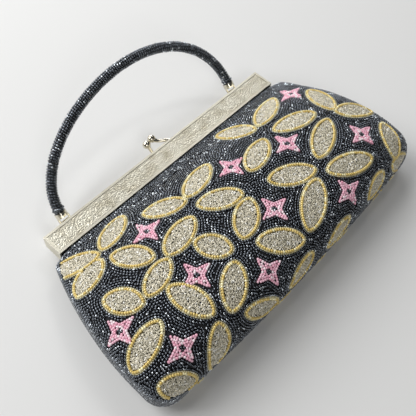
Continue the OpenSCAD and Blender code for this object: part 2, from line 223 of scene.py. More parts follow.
def leafDistance(u, v, tips, width, power):
    # Signed distance to a pointed leaf, negative inside
    ax, ay, bx, by = tips
    length = math.hypot(bx - ax, by - ay)
    tx, ty = (bx - ax) / length, (by - ay) / length
    cx, cy = (ax + bx) / 2, (ay + by) / 2
    s = np.linspace(-1, 1, motifs["leafSteps"])
    h = width / 2 * np.maximum(0, 1 - s * s) ** power
    p = (u - cx) * tx + (v - cy) * ty
    q = np.abs(-(u - cx) * ty + (v - cy) * tx)
    dist = np.full(u.shape, 1e9)
    for k in range(len(s) - 1):
        x0, y0, x1, y1 = s[k] * length / 2, h[k], s[k + 1] * length / 2, h[k + 1]
        ex, ey = x1 - x0, y1 - y0
        t = np.clip(((p - x0) * ex + (q - y0) * ey) / (ex * ex + ey * ey), 0, 1)
        dist = np.minimum(dist, np.hypot(p - x0 - ex * t, q - y0 - ey * t))
    rel = np.clip(p / (length / 2), -1, 1)
    inside = (np.abs(p) < length / 2) & (q < width / 2 * np.maximum(0, 1 - rel * rel) ** power)
    return np.where(inside, -dist, dist)


def starDistance(u, v, centre, size, waist):
    # Four pointed star with its tips along u and v
    p, q = np.abs(u - centre[0]), np.abs(v - centre[1])
    p, q = np.maximum(p, q), np.minimum(p, q)
    tip = size / 2
    w = tip * waist * math.sqrt(0.5)
    ex, ey = tip - w, -w
    t = np.clip(((p - w) * ex + (q - w) * ey) / (ex * ex + ey * ey), 0, 1)
    dist = np.hypot(p - w - ex * t, q - w - ey * t)
    return np.where((p - w) * ey - (q - w) * ex > 0, -dist, dist)


def isoLines(field, level, x0, y0, step):
    # Marching squares, chained into lines
    s = field - level
    up = s > 0
    code = up[:-1, :-1].astype(int) + up[:-1, 1:] + up[1:, 1:] + up[1:, :-1]
    cells = np.argwhere((code > 0) & (code < 4))
    joins = {}
    for i, j in cells:
        corners = (up[i, j], up[i, j + 1], up[i + 1, j + 1], up[i + 1, j])
        sides = ((0, i, j), (1, i, j + 1), (0, i + 1, j), (1, i, j))
        hit = [sides[k] for k in range(4) if corners[k] != corners[(k + 1) % 4]]
        for k in range(0, len(hit) - 1, 2):
            joins.setdefault(hit[k], []).append(hit[k + 1])
            joins.setdefault(hit[k + 1], []).append(hit[k])

    def place(e):
        kind, i, j = e
        if kind == 0:
            a, b = s[i, j], s[i, j + 1]
            return x0 + (j + a / (a - b)) * step, y0 + i * step
        a, b = s[i, j], s[i + 1, j]
        return x0 + j * step, y0 + (i + a / (a - b)) * step

    lines, seen = [], set()
    starts = [e for e in joins if len(joins[e]) == 1] + list(joins)
    for first in starts:
        if first in seen:
            continue
        chain, e = [first], first
        seen.add(first)
        while True:
            ahead = [n for n in joins[e] if n not in seen]
            if not ahead:
                break
            e = ahead[0]
            seen.add(e)
            chain.append(e)
        if len(chain) > 4:
            pts = np.array([place(e) for e in chain])
            if first in joins[chain[-1]] and len(chain) > 8:
                pts = np.vstack([pts, pts[:1]])
            lines.append(pts)
    return lines


def strung(line, pitch):
    # Even places along a line, with the direction at each
    seg = np.hypot(*np.diff(line, axis=0).T)
    keep = np.concatenate([[True], seg > 1e-6])
    line = line[keep]
    s = np.concatenate([[0], np.cumsum(np.hypot(*np.diff(line, axis=0).T))])
    n = int(s[-1] / pitch + 0.5)
    if n < 2:
        return []
    out = []
    shift = dice.random()
    gap = s[-1] / n
    reach = beads["lookAlong"]
    for k in range(n):
        t = (k + shift) % n * gap
        (x, y), (xa, ya), (xb, yb) = ([np.interp(at, s, line[:, c]) for c in (0, 1)]
                                      for at in (t, t - reach, t + reach))
        out.append((x, y, math.atan2(yb - ya, xb - xa)))
    return out


class Spots:
    # Keeps beads from sitting on each other
    def __init__(self, cell):
        self.cell, self.grid = cell, {}

    def near(self, x, y, reach):
        i, j = int(x // self.cell), int(y // self.cell)
        for a in (i - 1, i, i + 1):
            for b in (j - 1, j, j + 1):
                for p in self.grid.get((a, b), ()):
                    if (p[0] - x) ** 2 + (p[1] - y) ** 2 < reach * reach:
                        return True
        return False

    def add(self, x, y):
        self.grid.setdefault((int(x // self.cell), int(y // self.cell)), []).append((x, y))


def layBeads(cloth, flip):
    # All beads of one face, by kind: u, v, direction, length, radius, lift
    b = beads
    u, v = np.meshgrid(cloth.us, cloth.vs)
    x0, step = cloth.us[0], cloth.step
    inPanel = cloth.edge[:, None] - b["strip"] - np.abs(u)
    scale = cloth.vMax / frontMap.vMax

    def moved(x, y):
        return (-x * motifs["rearShrink"] if flip else x, y * scale)

    kinds = {"black": [], "gold": [], "edge": [], "cut": [], "pink": []}
    spots = Spots(b["cell"])
    gap = np.full(u.shape, 1e9)

    def measured(us, vs, reach, distance):
        # Distance to one motif over the part of the cloth around it
        ia, ib = np.searchsorted(cloth.us, (min(us) - reach, max(us) + reach))
        ja, jb = np.searchsorted(cloth.vs, (min(vs) - reach, max(vs) + reach))
        window = np.s_[ja:jb, ia:ib]
        dist = distance(u[window], v[window])
        gap[window] = np.minimum(gap[window], dist)
        return dist, cloth.us[ia], cloth.vs[ja]

    petals, stars = [], []
    for entry in motifs["petals"]:
        width = entry[4] if len(entry) > 4 else motifs["petalWidth"]
        tips = moved(*entry[:2]) + moved(*entry[2:4])
        petals.append(measured(tips[::2], tips[1::2], motifs["petalReach"],
                               lambda p, q: leafDistance(p, q, tips, width, motifs["leafPower"])))
    for entry in motifs["stars"]:
        centre = moved(*entry)
        stars.append((centre,) + measured(
            centre[:1], centre[1:], motifs["starReach"],
            lambda p, q: starDistance(p, q, centre, motifs["starSize"], motifs["starWaist"])))

    def gapAt(x, y):
        j = min(max(int((x - x0) / step + 0.5), 0), len(cloth.us) - 1)
        i = min(max(int(y / step + 0.5), 0), len(cloth.vs) - 1)
        return gap[i, j]

    def good(x, y):
        return cloth.edgeAt(y) - b["strip"] - abs(x) > b["seamMargin"] \
            and b["topMargin"] < y < cloth.vMax - b["endMargin"]

    def strungAlong(field, level, px, py, pitch):
        for line in isoLines(field, level, px, py, step):
            yield from strung(line, pitch)

    def lay(kind, x, y, t, length, radius, lift=0.0, marked=True):
        kinds[kind].append((x, y, t, length, radius, lift))
        if marked:
            spots.add(x, y)

    # Gold row along the inside of each petal, thin pale row outside it, cut beads within
    for dist, px, py in petals:
        for x, y, t in strungAlong(dist, -b["goldInset"], px, py, b["goldPitch"]):
            if good(x, y) and not spots.near(x, y, b["goldApart"]):
                lay("gold", x, y, t, b["goldLength"], b["goldRadius"], b["goldLift"])
        for x, y, t in strungAlong(dist, b["edgeOutset"], px, py, b["edgePitch"]):
            if good(x, y) and gapAt(x, y) > -b["edgeOverlap"] and not spots.near(x, y, b["edgeApart"]):
                lay("edge", x, y, t, b["edgeLength"], b["edgeRadius"], b["edgeLift"], False)
        s, stray, rowStep = b["cutSpacing"], b["cutStray"], b["cutRowRatio"]
        ny, nx = dist.shape
        for row in range(int(ny * step / (s * rowStep))):
            for col in range(int(nx * step / s)):
                x = px + (col + 0.5 * (row % 2)) * s + dice.uniform(-stray, stray)
                y = py + row * s * rowStep + dice.uniform(-stray, stray)
                i, j = int((y - py) / step + 0.5), int((x - px) / step + 0.5)
                if 0 <= i < ny and 0 <= j < nx and dist[i, j] < -b["cutInset"] and good(x, y):
                    lay("cut", x, y, dice.uniform(0, math.pi), b["cutLength"] * dice.uniform(0.8, 1.1),
                        b["cutRadius"] * dice.uniform(0.85, 1.15), dice.uniform(-0.25, 0.2), False)
    for centre, dist, px, py in stars:
        for inset in b["pinkRows"]:
            for x, y, t in strungAlong(dist, -inset, px, py, b["pinkSpacing"]):
                away = math.hypot(x - centre[0], y - centre[1])
                if away > b["heartRadius"] and good(x, y) and not spots.near(x, y, b["pinkApart"]):
                    lay("pink", x, y, t + dice.uniform(-b["pinkTurn"], b["pinkTurn"]), b["pinkLength"],
                        b["pinkRadius"], dice.uniform(0.0, b["pinkLift"]))
        # More pink wherever the star still has room
        ny, nx = dist.shape
        for i in range(ny):
            for j in range(nx):
                x, y = px + j * step, py + i * step
                away = math.hypot(x - centre[0], y - centre[1])
                if dist[i, j] < -b["spareInset"] and away > b["heartRadius"] and good(x, y) \
                        and not spots.near(x, y, b["spareApart"]):
                    lay("pink", x, y, dice.uniform(0, math.pi), b["spareLength"], b["pinkRadius"],
                        b["spareLift"])
        # Dark beads in its heart
        for k in range(b["heartBeads"]):
            x = centre[0] + b["heartRing"] * math.cos(b["heartTurn"] * k + b["heartStart"])
            y = centre[1] + b["heartRing"] * math.sin(b["heartTurn"] * k + b["heartStart"])
            if good(x, y):
                lay("black", x, y, dice.uniform(0, 3), b["heartLength"], b["heartBeadRadius"], b["heartLift"])

    # Dark ground: rows that run round the motifs, along the frame and along the seams
    ground = np.minimum(gap - b["groundGap"], np.minimum(inPanel, v))
    ground = np.minimum(ground, cloth.vMax - v)
    level = b["rowPitch"] / 2
    rows = 0
    while level < ground.max():
        for x, y, t in strungAlong(ground, level, x0, 0.0, b["threadPitch"]):
            if good(x, y) and not spots.near(x, y, b["apart"]):
                lay("black", x, y, t + dice.gauss(0, 0.06), b["length"] * dice.uniform(0.92, 1.08),
                    b["radius"] * dice.uniform(0.92, 1.06), dice.gauss(0, 0.05))
        level += b["rowPitch"]
        rows += 1
    # Loose beads where rows meet and leave a hole
    for i in range(0, len(cloth.vs), 2):
        for j in range(0, len(cloth.us), 2):
            x, y = cloth.us[j], cloth.vs[i]
            if ground[i, j] > b["holeRoom"] and not spots.near(x, y, b["holeApart"]):
                lay("black", x, y, dice.uniform(0, math.pi), b["holeLength"], b["holeRadius"])
    # Side strips, sewn on outside the seams
    pitch = b["strip"] / b["stripRows"]
    for side in (-1, 1):
        for k in range(b["stripRows"]):
            inward = (k + 0.5) * pitch
            vv = np.arange(b["stripStart"], cloth.vMax - b["stripStep"], b["stripStep"])
            line = np.stack([side * (cloth.edgeAt(vv) - inward), vv], 1)
            for x, y, t in strung(line, b["threadPitch"]):
                lay("black", x, y, t, b["length"], b["radius"], 0.0, False)
    print("beads laid", {k: len(n) for k, n in kinds.items()}, "rows", rows)
    return kinds


def colour(r, g, b):
    return (r, g, b, 1.0)


def newNode(tree, kind, values=None, **settings):
    node = tree.nodes.new("ShaderNode" + kind)
    for key, value in settings.items():
        setattr(node, key, value)
    for socket, value in (values or {}).items():
        node.inputs[socket].default_value = value
    return node


def wire(tree, *joins):
    # Each join is a node, its output, the next node and its input
    for source, output, target, socket in joins:
        tree.links.new(source.outputs[output], target.inputs[socket])


def newMaterial(name):
    mat = bpy.data.materials.new(name)
    mat.use_nodes = True
    return mat, mat.node_tree, mat.node_tree.nodes["Principled BSDF"]


def newGroup(name, inputs, outputs):
    group = bpy.data.node_groups.new(name, "ShaderNodeTree")
    for label, value in inputs.items():
        kind = "NodeSocketColor" if isinstance(value, tuple) else "NodeSocketFloat"
        socket = group.interface.new_socket(label, in_out="INPUT", socket_type=kind)
        socket.default_value = value
    for label in outputs:
        kind = "NodeSocketColor" if label == "Color" else "NodeSocketFloat"
        group.interface.new_socket(label, in_out="OUTPUT", socket_type=kind)
    return group, group.nodes.new("NodeGroupInput"), group.nodes.new("NodeGroupOutput")


# Each bead gets its own shade between two colours, and its own gloss
beadShade, gi, go = newGroup(
    "beadShade",
    {"Dark": colour(0, 0, 0), "Light": colour(1, 1, 1), "Odd": colour(1, 1, 1), "OddShare": 0.05,
     "RoughLow": 0.1, "RoughHigh": 0.25}, ("Color", "Roughness"))
geo = newNode(beadShade, "NewGeometry")
mix = newNode(beadShade, "Mix", data_type="RGBA")
spread = newNode(beadShade, "Math", {1: 7.31}, operation="MULTIPLY")
wrap = newNode(beadShade, "Math", operation="FRACT")
odd = newNode(beadShade, "Math", operation="LESS_THAN")
pick = newNode(beadShade, "Mix", data_type="RGBA")
rough = newNode(beadShade, "MapRange")
wire(beadShade,
     (geo, "Random Per Island", mix, "Factor"), (gi, "Dark", mix, "A"), (gi, "Light", mix, "B"),
     (geo, "Random Per Island", spread, 0), (spread, 0, wrap, 0), (wrap, 0, odd, 0), (gi, "OddShare", odd, 1),
     (odd, 0, pick, "Factor"), (mix, "Result", pick, "A"), (gi, "Odd", pick, "B"),
     (wrap, 0, rough, "Value"), (gi, "RoughLow", rough, "To Min"), (gi, "RoughHigh", rough, "To Max"),
     (pick, "Result", go, "Color"), (rough, "Result", go, "Roughness"))

# Plain weave: two crossed sets of threads
weave, gi, go = newGroup(
    "weave", {"ThreadsPerMetre": 2500.0, "Base": colour(0.1, 0.1, 0.1), "Gap": colour(0.02, 0.02, 0.02)},
    ("Color", "Height"))
where = newNode(weave, "TexCoord")
grow = newNode(weave, "VectorMath", operation="SCALE")
cross = newNode(weave, "Math", operation="MULTIPLY")
tint = newNode(weave, "Mix", data_type="RGBA")
for k, direction in enumerate(("X", "Y")):
    wave = newNode(weave, "TexWave", {"Scale": 0.314, "Distortion": 0.6, "Detail": 1.0},
                   wave_type="BANDS", bands_direction=direction)
    wire(weave, (grow, 0, wave, "Vector"), (wave, "Fac", cross, k))
wire(weave,
     (where, "Object", grow, 0), (gi, "ThreadsPerMetre", grow, "Scale"),
     (cross, 0, tint, "Factor"), (gi, "Gap", tint, "A"), (gi, "Base", tint, "B"),
     (tint, "Result", go, "Color"), (cross, 0, go, "Height"))

# Handling marks on metal: fine scratches, cloudy tarnish
wear, gi, go = newGroup(
    "wear",
    {"Clean": colour(0.8, 0.8, 0.8), "Tarnish": colour(0.5, 0.45, 0.35), "Amount": 0.4,
     "RoughLow": 0.18, "RoughHigh": 0.36}, ("Color", "Roughness", "Scratch"))
where = newNode(wear, "TexCoord")
cloud = newNode(wear, "TexNoise", {"Scale": 120.0, "Detail": 6.0})
fine = newNode(wear, "Mapping", {"Scale": (400.0, 5200.0, 3000.0), "Rotation": (0.0, 0.3, 0.5)})
scratch = newNode(wear, "TexNoise", {"Scale": 1.0, "Detail": 3.0})
band = newNode(wear, "MapRange", {"From Min": 0.42, "From Max": 0.72})
amount = newNode(wear, "Math", operation="MULTIPLY")
tint = newNode(wear, "Mix", data_type="RGBA")
rough = newNode(wear, "MapRange")
wire(wear,
     (where, "Object", cloud, "Vector"), (where, "Object", fine, "Vector"), (fine, 0, scratch, "Vector"),
     (cloud, "Fac", band, "Value"), (band, "Result", amount, 0), (gi, "Amount", amount, 1),
     (amount, 0, tint, "Factor"), (gi, "Clean", tint, "A"), (gi, "Tarnish", tint, "B"),
     (scratch, "Fac", rough, "Value"), (gi, "RoughLow", rough, "To Min"), (gi, "RoughHigh", rough, "To Max"),
     (tint, "Result", go, "Color"), (rough, "Result", go, "Roughness"), (scratch, "Fac", go, "Scratch"))


def beadMaterial(name, dark, light, oddOne, share, roughness, metallic, coat):
    mat, tree, shader = newMaterial(name)
    tone = newNode(tree, "Group", {"Dark": colour(*dark), "Light": colour(*light), "Odd": colour(*oddOne),
                                   "OddShare": share, "RoughLow": roughness[0], "RoughHigh": roughness[1]},
                   node_tree=beadShade)
    wire(tree, (tone, "Color", shader, "Base Color"), (tone, "Roughness", shader, "Roughness"))
    shader.inputs["Metallic"].default_value = metallic
    shader.inputs["Coat Weight"].default_value = coat
    shader.inputs["Coat Roughness"].default_value = 0.06
    return mat


def clothMaterial(name, base, gapColour, threads, roughness, sheen, bump):
    mat, tree, shader = newMaterial(name)
    cloth = newNode(tree, "Group", {"ThreadsPerMetre": threads, "Base": colour(*base),
                                    "Gap": colour(*gapColour)}, node_tree=weave)
    raised = newNode(tree, "Bump", {"Strength": 0.5, "Distance": bump})
    wire(tree, (cloth, "Color", shader, "Base Color"), (cloth, "Height", raised, "Height"),
         (raised, "Normal", shader, "Normal"))
    shader.inputs["Roughness"].default_value = roughness
    shader.inputs["Sheen Weight"].default_value = sheen
    return mat


def metalMaterial(name, clean, tarnish, amount, roughness):
    mat, tree, shader = newMaterial(name)
    marks = newNode(tree, "Group", {"Clean": colour(*clean), "Tarnish": colour(*tarnish), "Amount": amount,
                                    "RoughLow": roughness[0], "RoughHigh": roughness[1]}, node_tree=wear)
    raised = newNode(tree, "Bump", {"Strength": 0.25, "Distance": 0.00002})
    wire(tree, (marks, "Color", shader, "Base Color"), (marks, "Roughness", shader, "Roughness"),
         (marks, "Scratch", raised, "Height"), (raised, "Normal", shader, "Normal"))
    shader.inputs["Metallic"].default_value = 1.0
    return mat


# Dark, light and odd colour, share of odd beads, roughness from and to, metallic, coat
beadLooks = {
    "blackBead": ((0.05, 0.058, 0.07), (0.17, 0.19, 0.22), (0.55, 0.59, 0.63), 0.09, (0.08, 0.17), 1.0, 0.7),
    "goldBead": ((0.66, 0.48, 0.13), (0.84, 0.66, 0.24), (0.94, 0.85, 0.5), 0.2, (0.22, 0.4), 0.2, 0.5),
    "edgeBead": ((0.5, 0.46, 0.28), (0.74, 0.68, 0.44), (0.85, 0.82, 0.66), 0.1, (0.25, 0.4), 0.35, 0.4),
    "cutBead": ((0.42, 0.39, 0.29), (0.84, 0.78, 0.63), (0.95, 0.93, 0.86), 0.1, (0.25, 0.45), 0.3, 0.3),
    "pinkBead": ((0.87, 0.42, 0.54), (0.95, 0.62, 0.72), (0.97, 0.82, 0.86), 0.16, (0.3, 0.45), 0.0, 0.25),
}
# Thread and gap colour, threads to a metre, roughness, sheen, height of the weave
clothLooks = {
    "groundCloth": ((0.03, 0.032, 0.04), (0.008, 0.008, 0.01), 2600.0, 0.85, 0.2, 0.0001),
    "satinLining": ((0.06, 0.06, 0.07), (0.03, 0.03, 0.035), 5200.0, 0.38, 0.6, 0.00004),
    "buckram": ((0.72, 0.66, 0.52), (0.4, 0.36, 0.27), 1100.0, 0.9, 0.1, 0.00012),
    "thread": ((0.035, 0.036, 0.042), (0.01, 0.01, 0.012), 3800.0, 0.8, 0.3, 0.00008),
    "paperTwist": ((0.55, 0.43, 0.28), (0.36, 0.27, 0.17), 1500.0, 0.9, 0.0, 0.0001),
}
# Clean and tarnished colour, amount of tarnish, roughness from and to
metalLooks = {
    "champagne": ((0.73, 0.7, 0.59), (0.5, 0.45, 0.34), 0.35, (0.34, 0.46)),
    "etched": ((0.61, 0.585, 0.49), (0.33, 0.29, 0.2), 0.75, (0.32, 0.46)),
    "polished": ((0.76, 0.72, 0.61), (0.5, 0.43, 0.31), 0.35, (0.1, 0.22)),
    "steel": ((0.56, 0.56, 0.57), (0.36, 0.32, 0.28), 0.35, (0.22, 0.4)),
}
finish = {}
for make, looks in ((beadMaterial, beadLooks), (clothMaterial, clothLooks), (metalMaterial, metalLooks)):
    for name, look in looks.items():
        finish[name] = make(name, *look)
print("materials made", len(finish))


def addObject(name, data):
    obj = bpy.data.objects.new(name, data)
    bpy.context.scene.collection.objects.link(obj)
    return obj


def makeMesh(name, verts, faces, material):
    mesh = bpy.data.meshes.new(name)
    mesh.from_pydata([tuple(p) for p in verts], [], faces)
    mesh.materials.append(finish[material])
    mesh.update()
    mesh.polygons.foreach_set("use_smooth", [True] * len(mesh.polygons))
    return addObject(name, mesh)


# One bead: rings of place along it and radius, then how its square of the map is filled
barrel = {
    "sides": 6, "rings": ((-0.5, 0.55), (-0.32, 0.99), (0.32, 0.99), (0.5, 0.55)),
    "endAt": 0.25, "endStep": 0.5, "endSize": 0.11, "mapShare": 0.86, "mapMargin": 0.07,
}


def beadTemplate():
    n = barrel["sides"]
    verts = []
    for x, r in barrel["rings"]:
        for k in range(n):
            t = 2 * math.pi * k / n
            verts.append((x, r * math.cos(t), r * math.sin(t)))
    faces = []
    rings = len(barrel["rings"])
    for i in range(rings - 1):
        for k in range(n):
            m = (k + 1) % n
            faces.append((i * n + k, i * n + m, (i + 1) * n + m, (i + 1) * n + k))
    faces.append(tuple(range(n - 1, -1, -1)))
    faces.append(tuple((rings - 1) * n + k for k in range(n)))
    return np.array(verts), faces


def beadPieces(name, centres, along, out, lengths, radii, material):
    # One mesh of many beads, split into pieces that stay light enough
    template, faces = beadTemplate()
    counts = [len(f) for f in faces]
    flat = np.array([i for f in faces for i in f])
    side = unit(np.cross(out, along))
    out = np.cross(along, side)
    pieces = []
    parts = max(1, math.ceil(len(centres) / beads["mostPerPiece"]))
    n = len(template)
    for part in range(parts):
        pick = slice(part * len(centres) // parts, (part + 1) * len(centres) // parts)
        c, a, s, o = centres[pick], along[pick], side[pick], out[pick]
        ln, rd = lengths[pick][:, None, None], radii[pick][:, None, None]
        pts = c[:, None] + a[:, None] * template[None, :, 0:1] * ln \
            + s[:, None] * template[None, :, 1:2] * rd + o[:, None] * template[None, :, 2:3] * rd
        count = len(c)
        pts = pts.reshape(-1, 3) * mm
        loops = (flat[None, :] + (np.arange(count) * n)[:, None]).ravel()
        sizes = np.tile(counts, count)
        mesh = bpy.data.meshes.new(name)
        mesh.vertices.add(len(pts))
        mesh.vertices.foreach_set("co", pts.ravel())
        mesh.loops.add(len(loops))
        mesh.loops.foreach_set("vertex_index", loops)
        mesh.polygons.add(len(sizes))
        mesh.polygons.foreach_set("loop_start", np.concatenate([[0], np.cumsum(sizes)[:-1]]))
        mesh.polygons.foreach_set("use_smooth", np.ones(len(sizes), bool))
        mesh.update(calc_edges=True)
        mesh.validate()
        cellMap(mesh, count)
        mesh.materials.append(finish[material])
        obj = addObject(name if parts == 1 else name + "_" + str(part + 1), mesh)
        pieces.append(obj)
    return pieces


def cellMap(mesh, count):
    # Every bead has a small square of its own in the map
    n = barrel["sides"]
    rings = len(barrel["rings"])
    cells = math.ceil(math.sqrt(count))
    spots = []
    for i in range(rings - 1):
        for k in range(n):
            x0, x1, y0, y1 = k / n, (k + 1) / n, i / rings, (i + 1) / rings
            spots += [(x0, y0), (x1, y0), (x1, y1), (x0, y1)]
    for end in (0, 1):
        order = range(n - 1, -1, -1) if end == 0 else range(n)
        for k in order:
            t = 2 * math.pi * k / n
            spots.append((barrel["endAt"] + barrel["endStep"] * end + barrel["endSize"] * math.cos(t),
                          (rings - 0.5) / rings + barrel["endSize"] * math.sin(t)))
    spots = np.array(spots) * barrel["mapShare"] + barrel["mapMargin"]
    cell = np.arange(count)
    corner = np.stack([cell % cells, cell // cells], 1)
    uv = (corner[:, None] + spots[None]) / cells
    layer = mesh.uv_layers.new(name="OFBake")
    layer.data.foreach_set("uv", uv.reshape(-1))


def rowAt(d, inset):
    # Inner layers stop short of the bottom, so their rows draw together to nest
    low, drop = hinge["foldStart"], bag["drop"]
    return np.where(d <= low, d, low + (d - low) * (drop - inset - low) / (drop - low))


def slabFaces(nr, nc, first=0):
    # A thin closed slab of two grids, where first is the corner that each rim face starts from
    n = nr * nc
    faces = []
    for i in range(nr - 1):
        for j in range(nc - 1):
            q = (i * nc + j, i * nc + j + 1, (i + 1) * nc + j + 1, (i + 1) * nc + j)
            faces += [tuple(reversed(q)), tuple(n + k for k in q)]
    rim = list(range(nc)) + [i * nc + nc - 1 for i in range(1, nr)] \
        + [(nr - 1) * nc + j for j in range(nc - 2, -1, -1)] + [i * nc for i in range(nr - 2, 0, -1)]
    for k in range(len(rim)):
        p, q = rim[k], rim[(k + 1) % len(rim)]
        face = (p, q, n + q, n + p)
        faces.append(face[first:] + face[:first])
    return faces


ripple = {"across": 0.19, "slant": 0.05, "down": 0.13}


def sheetSolid(name, rows, cols, inset, thick, side, narrow, material, wave=0.0):
    # A cloth layer between two insets of the shell, closed all round
    d, a = np.meshgrid(np.array(rows), np.array(cols), indexing="ij")
    outer = shellPoint(rowAt(d, inset), a, inset, side, narrow)
    inner = shellPoint(rowAt(d, inset + thick), a, inset + thick, side, narrow)
    if wave:
        for grid in (outer, inner):
            x, y = grid[..., 0], grid[..., 1]
            grid[..., 2] += wave * np.sin(x * ripple["across"] + y * ripple["slant"]) \
                * np.cos(y * ripple["down"])
    faces = slabFaces(*d.shape, 1)
    if side > 0:
        faces = [tuple(reversed(f)) for f in faces]
    verts = np.concatenate([outer.reshape(-1, 3), inner.reshape(-1, 3)]) * mm
    return makeMesh(name, verts, faces, material)


def spanArc(n, half=math.pi / 2):
    return [half * (2 * k / n - 1) for k in range(n + 1)]


def closingRows(first, n):
    return [first + (bag["drop"] - first) * math.sin(math.pi / 2 * k / n) for k in range(n + 1)]


hinge = {"foldStart": 64.0, "foldEnd": 40.0, "above": 8}


def bendAtHinge(piece):
    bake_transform(piece)


camera = {
    "eye": (-170.1, -110.5, 330.7), "azimuth": 51.69, "elevation": 57.5, "roll": 5.29,
    "focalPixels": 582.0, "imagePixels": 416, "sensor": 36.0, "near": 0.01, "far": 20,
}
az, el, roll = (math.radians(camera[k]) for k in ("azimuth", "elevation", "roll"))
look = Vector((math.sin(az) * math.cos(el), math.cos(az) * math.cos(el), -math.sin(el)))
right = look.cross(Vector((0, 0, 1))).normalized()
above = right.cross(look)
right, above = (math.cos(roll) * right + math.sin(roll) * above,
                math.cos(roll) * above - math.sin(roll) * right)
camData = bpy.data.cameras.new("photoCamera")
camData.sensor_width = camera["sensor"]
camData.lens = camera["focalPixels"] / camera["imagePixels"] * camera["sensor"]
camData.clip_start, camData.clip_end = camera["near"], camera["far"]
camObj = addObject("photoCamera", camData)
camObj.matrix_world = Matrix.Translation(Vector(camera["eye"]) * mm) @ Matrix(
    ((right.x, above.x, -look.x), (right.y, above.y, -look.y), (right.z, above.z, -look.z))).to_4x4()
bpy.context.scene.camera = camObj
bpy.context.scene.view_settings.view_transform = "Standard"

studio = {
    "key": {"at": (-0.57, 0.94, 0.94), "size": 1.1, "power": 19.0},
    "fill": {"at": (-0.6, -0.9, 0.9), "size": 0.45, "power": 4.0},
    "rim": {"at": (0.66, 1.1, 0.62), "size": 0.85, "power": 10.0},
    "spark": {"at": (0.75, 0.24, 1.28), "size": 0.25, "power": 1.8},
    "world": 0.07, "worldTint": (0.95, 0.97, 1.0), "aimHeight": 0.02,
    "floor": (0.76, 0.76, 0.75), "floorRoughness": 0.9, "floorHalf": 3,
}
for name in ("key", "fill", "rim", "spark"):
    lamp = studio[name]
    data = bpy.data.lights.new(name, "AREA")
    data.size, data.energy = lamp["size"], lamp["power"]
    obj = addObject(name, data)
    place = Vector(lamp["at"])
    obj.location = place
    obj.rotation_euler = (place - Vector((0, 0, studio["aimHeight"]))).to_track_quat("Z", "Y").to_euler()
world = bpy.data.worlds.new("studio")
world.use_nodes = True
world.node_tree.nodes["Background"].inputs["Color"].default_value = colour(*studio["worldTint"])
world.node_tree.nodes["Background"].inputs["Strength"].default_value = studio["world"]
bpy.context.scene.world = world
floorMat, _, shader = newMaterial("studioFloor")
shader.inputs["Base Color"].default_value = colour(*studio["floor"])
shader.inputs["Roughness"].default_value = studio["floorRoughness"]
floorMesh = bpy.data.meshes.new("studioFloor")
h = studio["floorHalf"]
floorMesh.from_pydata([(-h, -h, 0), (h, -h, 0), (h, h, 0), (-h, h, 0)], [], [(0, 1, 2, 3)])
floorMesh.materials.append(floorMat)
floorObj = addObject("studioFloor", floorMesh)
print("camera and studio ready")

lowRows = [24, 28, 33, 38, 43, 48, 53, 58, 63, 68] + closingRows(73, 22)
clothRows = [13.0, 15.8, 17.5, 19.2, 21] + lowRows
# Cut is the flat width and length, area what is left of it after the corners are cut round
skin = {
    "inset": 1.15, "thick": 0.6, "cols": 72, "frontCut": (0.276, 0.136), "frontArea": 0.0336,
    "rearCut": (0.256, 0.123), "rearArea": 0.0291,
}
clothCols = spanArc(skin["cols"])
frontCloth = sheetSolid("frontCloth", clothRows, clothCols, skin["inset"], skin["thick"], 1, 0, "groundCloth")
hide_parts("front_panel_top", "front_fold", "front_panel", "gusset_left", "gusset_right")
bendAtHinge(frontCloth)
rearCloth = sheetSolid("rearCloth", clothRows, clothCols, skin["inset"], skin["thick"], -1, 0, "groundCloth")
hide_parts("rear_panel")
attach(rearCloth, "bag")
sewnOn = {"front": [], "rear": []}

for face, cloth in (("front", frontMap), ("rear", rearMap)):
    laid = layBeads(cloth, face == "rear")
    for kind, rows in laid.items():
        if not rows:
            continue
        rec = np.array(rows)
        place, tu, tv, n = cloth.frameAt(rec[:, 0], rec[:, 1])
        along = unit(np.cos(rec[:, 2])[:, None] * tu + np.sin(rec[:, 2])[:, None] * tv)
        centre = place + n * (rec[:, 5:6] - beads["sink"])
        if face == "rear":
            centre[:, 2] = np.maximum(centre[:, 2], rec[:, 4] + beads["tableGap"])
        for piece in beadPieces(face + kind.capitalize() + "Beads", centre, along, n, rec[:, 3], rec[:, 4],
                                kind + "Bead"):
            sewnOn[face].append(piece)
            if face == "front":
                bendAtHinge(piece)
            else:
                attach(piece, "bag")
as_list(sewnOn["front"])
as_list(sewnOn["rear"])
print("beaded cloth done")

inside = {
    "stiffInset": 1.95, "stiffThick": 0.7, "stiffArc": 1.15, "stiffNarrow": 3, "stiffCols": 40,
    "frontStiffTop": 64, "rearStiffTop": 50, "rows": 22,
    "liningTop": 20, "liningInset": 2.95, "liningThick": 0.6, "liningNarrow": 25.0, "liningWave": 0.1,
    "liningCols": 56,
    "frontStiffCut": (0.244, 0.078), "frontStiffArea": 0.0179,
    "rearStiffCut": (0.238, 0.082), "rearStiffArea": 0.0186,
    "frontLiningCut": (0.256, 0.124), "frontLiningArea": 0.0271,
    "rearLiningCut": (0.237, 0.108), "rearLiningArea": 0.0223,
}
stiffCols = spanArc(inside["stiffCols"], inside["stiffArc"])
frontStiff = sheetSolid("frontStiffener", closingRows(inside["frontStiffTop"], inside["rows"]), stiffCols,
                        inside["stiffInset"], inside["stiffThick"], 1, inside["stiffNarrow"], "buckram")
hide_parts("front_stiffener")
rearStiff = sheetSolid("rearStiffener", closingRows(inside["rearStiffTop"], inside["rows"]), stiffCols,
                       inside["stiffInset"], inside["stiffThick"], -1, inside["stiffNarrow"], "buckram")
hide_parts("rear_stiffener")
for piece in (frontStiff, rearStiff):
    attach(piece, "bag")
liningCols = spanArc(inside["liningCols"])
